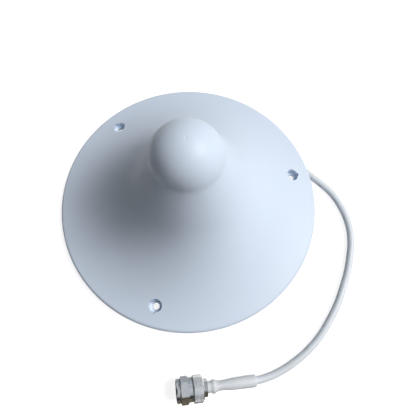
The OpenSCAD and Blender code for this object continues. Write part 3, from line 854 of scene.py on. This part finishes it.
def cable_slot():
    """The slot in the skirt where the cable's route crosses it, with two round top corners."""
    wall_r = (RIM_R - WALL / 2) * MM
    flat = [Vector(p[:2]) for p in ROUTE]
    a, b = next((a, b) for a, b in zip(flat, flat[1:]) if a.length < wall_r <= b.length)
    middle = a + (b - a) * (wall_r - a.length) / (b.length - a.length)
    right = [(SLOT_HALF, -1)]
    for angle in map(math.radians, range(0, 91, 15)):
        right.append((SLOT_HALF - SLOT_CORNER + SLOT_CORNER * math.cos(angle),
                      SLOT_TOP - SLOT_CORNER + SLOT_CORNER * math.sin(angle)))
    profile = right + [(-x, y) for x, y in reversed(right)]
    run = (b - a).normalized()
    axes = Matrix(((-run.y, 0, run.x), (run.x, 0, run.y), (0, 1, 0))).to_4x4()
    axes.translation = (*middle, 0)
    return prism("Cable_slot", profile, -SLOT_RUN, SLOT_RUN, axes)


class ANTENNA_OT_radome(bpy.types.Operator):
    """Mould the bell with its bosses, posts, ribs, screw holes and cable slot"""

    bl_idname = "antenna.radome"
    bl_label = "Radome"

    def execute(self, context):
        bell = combine(bell_shell(), [inside_features()], "UNION")
        cutters = mount_cutters(bell_outline(0, OUTER_STEPS)) + [cable_slot()]
        low = BASE_TOP - 1
        top = height_at(bell_outline(WALL, INNER_STEPS), POST_R)
        tap = [(0, low), (TAP_R, low), (TAP_R, top), (0, top)]
        cutters += [turned("Tapped_hole", tap, turn(a, POST_R)) for a in POST_TURNS]
        combine(bell, [combine(cutters[0], cutters[1:], "UNION")], "DIFFERENCE")
        finished(bell, housing_plastic(), "antenna", "radome_white", "radome")
        return {"FINISHED"}


# The base screws' outline from the head's crown to the shank, their tip from its end, and half
# the length, the width, the depth and the turn of their cross recess
HEAD = [(0, 0), (1.9, 0.04), (2.5, 0.35), (2.85, 1.1), (2.85, 1.95), (1.5, 1.95)]
TIP = [(1.5, -1), (0.9, 0), (0, 0)]
CROSS_REACH = 1.45
CROSS_WIDTH = 0.6
CROSS_DEPTH = 0.8
CROSS_TURN = 20


class ANTENNA_OT_base(bpy.types.Operator):
    """Mould the base plate, break the feed's edges and make the leg and base screws"""

    bl_idname = "antenna.base"
    bl_label = "Base plate"

    def execute(self, context):
        merged_copy("base_plate", "Base_plate", 0.25, base_plastic(), "base_white")
        merged_copy("feed_block", "Feed_block", 0.2, sheet_brass(), "radiator_brass")
        merged_copy("feed_ferrule", "Feed_ferrule", 0.1, sheet_brass(), "radiator_brass")
        merged_copy("leg_screws", "Leg_screws", 0, zinc_steel(), "screw_steel")
        screws = []
        low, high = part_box("base_screws")
        length = (high[2] - low[2]) / MM
        half = HEAD + [(r, length + z) for r, z in TIP]
        for a in POST_TURNS:
            at = turn(a, POST_R, low[2] / MM)
            slots = [prism("Cross", box_outline(-CROSS_REACH, CROSS_REACH, CROSS_WIDTH),
                           -0.5, CROSS_DEPTH, at @ turn(CROSS_TURN + side)) for side in (0, 90)]
            screws.append(combine(turned("Base_screws", half, at, steps=48), slots, "DIFFERENCE"))
        pick(*screws)
        bpy.ops.object.join()
        finished(screws[0], zinc_steel(), "antenna", "screw_steel", "base_screws")
        return {"FINISHED"}


# The sleeve's outline in radius and distance from the nut's mouth: it starts on the body,
# bulges over the crimped ferrule, dips, and lies on the cable in two layers
SLEEVE = [
    (3.92, -23.62), (4.0, -24.1), (4.03, -25.9), (4.35, -26.8), (4.82, -27.6), (5.0, -28.2),
    (5.02, -28.8), (4.88, -29.4), (4.56, -30.0), (4.17, -30.6), (3.85, -31.3), (3.63, -32.3),
    (3.52, -33.4), (3.48, -34.6), (3.53, -36.0), (3.68, -37.6), (3.83, -39.3), (3.97, -41.0),
    (4.1, -42.4), (4.24, -42.8), (4.3, -44.4), (4.38, -46.6), (4.45, -49.0), (4.49, -51.6),
    (4.51, -54.6), (4.6, -55.0), (4.61, -57.2), (4.61, -59.4), (4.57, -60.9), (4.45, -61.3),
    (4.25, -61.38), (3.6, -61.35), (3.2, -61.1),
]
SLEEVE_BORE = [(3.02, -61.1), (3.02, -38.5), (3.05, -37.2), (3.1, -34.0), (3.25, -31.6),
               (4.22, -29.4), (4.25, -27.9), (3.3, -26.2), (3.2, -23.62)]
# What lies further out than this is skin, and ripples
SLEEVE_SKIN_R = 3.4


def shrink_ripple(around, z):
    """How far the shrunk skin stands out at an angle and a distance from the mouth."""
    return (0.03 * math.sin(2 * around + 0.5 * z) + 0.018 * math.sin(5 * around - 1.7 * z)
            + 0.022 * math.sin(3 * around + 2.9) * math.cos(1.1 * z))


class ANTENNA_OT_sleeve(bpy.types.Operator):
    """Shrink the sleeve over the plug's neck and the cable"""

    bl_idname = "antenna.sleeve"
    bl_label = "Shrink sleeve"

    def execute(self, context):
        sleeve = turned("Shrink_sleeve", SLEEVE + SLEEVE_BORE, steps=72)
        for vertex in sleeve.data.vertices:
            x, y, z = vertex.co / MM
            radius = math.hypot(x, y)
            if radius > SLEEVE_SKIN_R:
                scale = 1 + shrink_ripple(math.atan2(y, x), z) / radius
                vertex.co = Vector((x * scale, y * scale, z)) * MM
        sleeve.data.transform(PLUG_AXES)
        finished(sleeve, shrink_tube(), "antenna", "shrink_white", "shrink_sleeve", "shrink_inner")
        return {"FINISHED"}


def plug_part(name, half, material, slot, node):
    """A turned piece on the plug's axis that stands for one node."""
    return finished(turned(name, half, PLUG_AXES, steps=64), material, "antenna", slot, node)


# How far the plug's hexagons are turned
HEX_TURN = 42


def hexagon_band(name, flats, span, shoulder, crest, fall):
    """A hexagon on the plug's axis, its corners turned down from crest to shoulder at both ends."""
    low, high = span
    bar = prism(name, hexagon(flats), low, high, PLUG_AXES @ turn(HEX_TURN))
    bevel = [(0, low), (shoulder, low), (crest, low + fall), (crest, high - fall),
             (shoulder, high), (0, high)]
    return combine(bar, [turned("Corner_bevel", bevel, PLUG_AXES)], "INTERSECT")


# The body's outline: spigot, collar, journal with the snap ring's groove, flange and contact
BODY = [
    (0, -39.4), (2.3, -39.4), (2.4, -39.3), (2.4, -27.9), (3, -27.9), (3, -23.6), (5.2, -23.6),
    (5.2, -20.3), (4.5, -20.3), (4.5, -19.0), (5.2, -19.0), (5.2, -17.8), (6.7, -17.8),
    (6.9, -17.6), (6.9, -12.7), (6.7, -12.5), (4.05, -12.5), (4.05, -3.9), (3.85, -3.5), (0, -3.5),
]
BODY_FLATS = 11.6
BODY_HEX = (-23.6, -20.65)
BODY_BORE = [(0, -38.4), (1.75, -38.4), (1.75, -17.8), (3.5, -17.8), (3.5, -3.9), (3.7, -3.4),
             (3.7, 1), (0, 1)]

# The slits that make the contact springy: half their length across, their width and their depths
SLIT_REACH = 8
SLIT_WIDTH = 0.5
SLIT_DEPTHS = (-7.5, 1)

# What sits in the mouth
INSULATOR = [(0.87, -17.8), (3.45, -17.8), (3.45, -10.7), (3.25, -10.5), (1.2, -10.5), (0.87, -10.8)]
PIN = [(0, -36.4), (0.82, -36.4), (0.82, -7.1), (0.76, -6.7), (0.42, -5.6), (0.26, -5.42), (0, -5.4)]
GASKET = [(4.2, -12.5), (6.5, -12.5), (6.6, -12.4), (6.6, -11.5), (6.4, -11.3), (4.35, -11.3),
          (4.15, -11.5), (4.15, -12.4)]


class ANTENNA_OT_plug(bpy.types.Operator):
    """Turn the plug's body, gasket, insulator and contact"""

    bl_idname = "antenna.plug"
    bl_label = "Plug body"

    def execute(self, context):
        body = turned("Plug_body", BODY, PLUG_AXES)
        band = hexagon_band("Body_hexagon", BODY_FLATS, BODY_HEX, shoulder=5.95, crest=6.45, fall=0.3)
        combine(body, [band], "UNION")
        cutters = [turned("Body_bore", BODY_BORE, PLUG_AXES)]
        for a in (0, 90):
            cutters.append(prism("Slit", box_outline(-SLIT_REACH, SLIT_REACH, SLIT_WIDTH),
                                 *SLIT_DEPTHS, PLUG_AXES @ turn(a)))
        combine(body, cutters, "DIFFERENCE")
        finished(body, satin_nickel(), "antenna", "nickel", "plug_body")
        plug_part("Plug_insulator", INSULATOR, white_ptfe(), "ptfe", "plug_insulator")
        plug_part("Contact_pin", PIN, contact_gold(), "contact_gold", "contact_pin")
        plug_part("Plug_gasket", GASKET, gasket_rubber(), "gasket_rubber", "plug_gasket")
        return {"FINISHED"}


# The coupling nut's outline from its back face to its lip, with two grooves
NUT = [
    (0, -20.6), (8.3, -20.6), (8.7, -20.2), (8.9, -13.05), (8.1, -12.95), (8.1, -12.3),
    (8.44, -12.2), (8.5, -12.1), (8.5, -9.65), (8.5, -3.45), (8.1, -3.35), (8.1, -2.7),
    (8.44, -2.6), (8.5, -2.5), (8.5, -1.35), (8.46, -1.2), (7.98, -0.5), (0, -0.5),
]
NUT_FLATS = 17.2
NUT_HEX = (-9.6, -3.5)

# The knurled ring: its ends, the radius of its flattened diamonds, their depth, how far they are
# poked up, and the envelope that flattens them. Points nearer than SAME are one.
KNURL = (-20.1, -13.0)
KNURL_R = 9.8
KNURL_DEPTH = 0.42
KNURL_POKE = 1.25 * KNURL_DEPTH
SAME = 0.01
KNURL_ENVELOPE = [(0, -20.6), (8.3, -20.6), (KNURL_R, -19.4), (KNURL_R, -13.5), (9.2, -13.0),
                  (0, -13.0)]

# The nut's bore, its thread's ridge, where that starts and how far past the mouth it winds, and
# the mouth's bevel
NUT_BORE = [
    (0, -30), (5.28, -30), (5.28, -20.2), (6.2, -20.2), (6.2, -19.0), (5.28, -19.0), (5.28, -18.1),
    (7.6, -18.1), (7.6, -10.8), (7.94, -10.5), (7.94, 3), (0, 3),
]
THREAD = [(8, -0.5), (7.46, -0.1), (7.46, 0.1), (8, 0.5)]
THREAD_FROM = -10.2
PAST_MOUTH = 0.8
MOUTH_BEVEL = [(0, -1.6), (6.95, -1.6), (7.9, -0.65), (8.35, -0.56), (8.35, 2.5), (0, 2.5)]

# The knurl's band and the bands of painted shade: from and to along the axis, and radii between
KNURL_BAND = (-20.0, -12.9, 8.6, 10)
SHADED_BANDS = ((-3.48, -2.6, 8, 8.48), (-13.0, -12.2, 8, 8.48), (-20, -0.8, 5, 8.1))


def knurled_ring():
    """A ring of raised diamonds: a grid is poked and rolled up, its squares are dissolved to
    diamonds, and these are poked up."""
    starts = sized().knurl_starts
    root = KNURL_R - KNURL_DEPTH
    cell = math.tau * root / starts
    rows = round((KNURL[1] - KNURL[0]) / cell)
    deselect()
    bpy.ops.mesh.primitive_grid_add(x_subdivisions=starts, y_subdivisions=rows, size=2 * MM)
    ring = bpy.context.object
    ring.name = ring.data.name = "Knurled_ring"
    edit_all()
    bpy.ops.mesh.poke()
    bpy.ops.object.mode_set(mode="OBJECT")
    for vertex in ring.data.vertices:
        around = (vertex.co.x / MM + 1) * math.pi
        height = KNURL[0] + (vertex.co.y / MM + 1) / 2 * (KNURL[1] - KNURL[0])
        vertex.co = Vector((root * math.cos(around), root * math.sin(around), height)) * MM
    edit_all()
    bpy.ops.mesh.remove_doubles(threshold=SAME * MM)
    bpy.ops.mesh.normals_make_consistent(inside=False)
    select_edges(ring, lambda a, b: is_square(a, b) and not at_ends(a, b))
    bpy.ops.mesh.dissolve_edges(use_verts=False)
    bpy.ops.mesh.select_all(action="SELECT")
    bpy.ops.mesh.poke(offset=KNURL_POKE * MM)
    select_edges(ring, at_ends)
    bpy.ops.mesh.fill_holes(sides=0)
    return closed_up(ring, PLUG_AXES)


def select_edges(piece, wanted):
    """Selects the edges whose two ends, in millimetres, meet a test."""
    bpy.ops.mesh.select_all(action="DESELECT")
    bpy.ops.object.mode_set(mode="OBJECT")
    spots = [vertex.co / MM for vertex in piece.data.vertices]
    for edge in piece.data.edges:
        edge.select = wanted(spots[edge.vertices[0]], spots[edge.vertices[1]])
    bpy.ops.object.mode_set(mode="EDIT")
    bpy.ops.mesh.select_mode(type="EDGE")


def is_square(a, b):
    """Whether an edge runs straight round the ring or straight along it."""
    return abs(a.z - b.z) < SAME or math.hypot(a.x - b.x, a.y - b.y) < SAME


def at_ends(a, b):
    """Whether an edge lies on one of the ring's two ends."""
    return any(abs(a.z - end) < SAME and abs(b.z - end) < SAME for end in KNURL)


def thread_ridge():
    """The nut's screw thread, wound by a Screw modifier from the inside to beyond the mouth."""
    ridge = outline("Thread", [(r, 0, z + THREAD_FROM) for r, z in THREAD])
    bpy.ops.object.mode_set(mode="OBJECT")
    pitch = sized().thread_pitch
    shape_with(ridge, "SCREW", axis="Z", angle=math.tau, screw_offset=pitch,
               iterations=math.ceil((PAST_MOUTH - THREAD_FROM) * MM / pitch),
               steps=72, render_steps=72, use_merge_vertices=False)
    edit_all()
    bpy.ops.mesh.fill_holes(sides=0)
    return closed_up(ridge, PLUG_AXES)


def repaint(piece, material, low, high, inner, outer):
    """Gives the faces of a band round the plug's axis another material."""
    piece.data.materials.append(material)
    to_plug = PLUG_AXES.inverted()
    for face in piece.data.polygons:
        x, y, z = to_plug @ face.center / MM
        if low < z < high and inner < math.hypot(x, y) < outer:
            face.material_index = len(piece.data.materials) - 1


class ANTENNA_OT_nut(bpy.types.Operator):
    """Turn, mill, knurl and thread the coupling nut"""

    bl_idname = "antenna.nut"
    bl_label = "Coupling nut"

    def execute(self, context):
        nut = turned("Coupling_nut", NUT, PLUG_AXES)
        band = hexagon_band("Nut_hexagon", NUT_FLATS, NUT_HEX, shoulder=NUT_FLATS / 2 - 0.05,
                            crest=NUT_FLATS / math.sqrt(3) - 0.04, fall=0.85)
        envelope = turned("Knurl_envelope", KNURL_ENVELOPE, PLUG_AXES)
        combine(nut, [band, combine(knurled_ring(), [envelope], "INTERSECT")], "UNION")
        combine(nut, [turned("Nut_bore", NUT_BORE, PLUG_AXES)], "DIFFERENCE")
        combine(nut, [thread_ridge()], "UNION")
        combine(nut, [turned("Mouth_bevel", MOUTH_BEVEL, PLUG_AXES)], "DIFFERENCE")
        finished(nut, nickel_plate(), "coupling_nut", "nickel", "coupling_nut")
        repaint(nut, knurled_nickel(), *KNURL_BAND)
        # The grooves, the thread and the mouth get painted shade
        for band in SHADED_BANDS:
            repaint(nut, shaded_nickel(), *band)
        return {"FINISHED"}


class ANTENNA_OT_finishes(bpy.types.Operator):
    """Give each node that stays in the bell and the plug its material"""

    bl_idname = "antenna.finishes"
    bl_label = "Inner finishes"

    def execute(self, context):
        looks = {
            reflector_aluminium: ["reflector_disc"],
            sheet_brass: ["radiator_cone", "radiator_plate", "radiator_tube", "radiator_rivets",
                          "shorting_legs", "feed_flange"],
            zinc_steel: ["feed_screws"],
            white_ptfe: ["feed_dielectric"],
            contact_gold: ["feed_pin"],
            nickel_plate: ["crimp_ferrule"],
            spring_bronze: ["snap_ring"],
        }
        for look, names in looks.items():
            for name in names:
                paint(NODES[name], look())
        return {"FINISHED"}


class ANTENNA_PT_panel(bpy.types.Panel):
    """Lists the antenna's sizes, colours and steps"""

    bl_idname = "ANTENNA_PT_panel"
    bl_label = "Ceiling antenna"
    bl_space_type = "VIEW_3D"
    bl_region_type = "UI"
    bl_category = "Antenna"

    def draw(self, context):
        for name, group in GROUPS.items():
            box = self.layout.box()
            for label in group.__annotations__:
                box.prop(getattr(context.scene, name), label)
        for step in STEPS:
            self.layout.operator(step.bl_idname)


STEPS = (ANTENNA_OT_stage, ANTENNA_OT_radome, ANTENNA_OT_base, ANTENNA_OT_sleeve, ANTENNA_OT_plug,
         ANTENNA_OT_nut, ANTENNA_OT_cable, ANTENNA_OT_finishes)
GROUPS = {"antenna_sizes": AntennaSizes, "antenna_finishes": AntennaFinishes,
          "antenna_studio": AntennaStudio}


def register():
    for name, group in GROUPS.items():
        bpy.utils.register_class(group)
        setattr(bpy.types.Scene, name, PointerProperty(type=group))
    for kind in (*STEPS, ANTENNA_PT_panel):
        bpy.utils.register_class(kind)


def unregister():
    for kind in reversed((*STEPS, ANTENNA_PT_panel)):
        bpy.utils.unregister_class(kind)
    for name, group in GROUPS.items():
        delattr(bpy.types.Scene, name)
        bpy.utils.unregister_class(group)


def main():
    register()
    for step in STEPS:
        family, name = step.bl_idname.split(".")
        getattr(getattr(bpy.ops, family), name)()


if __name__ == "__main__":
    main()
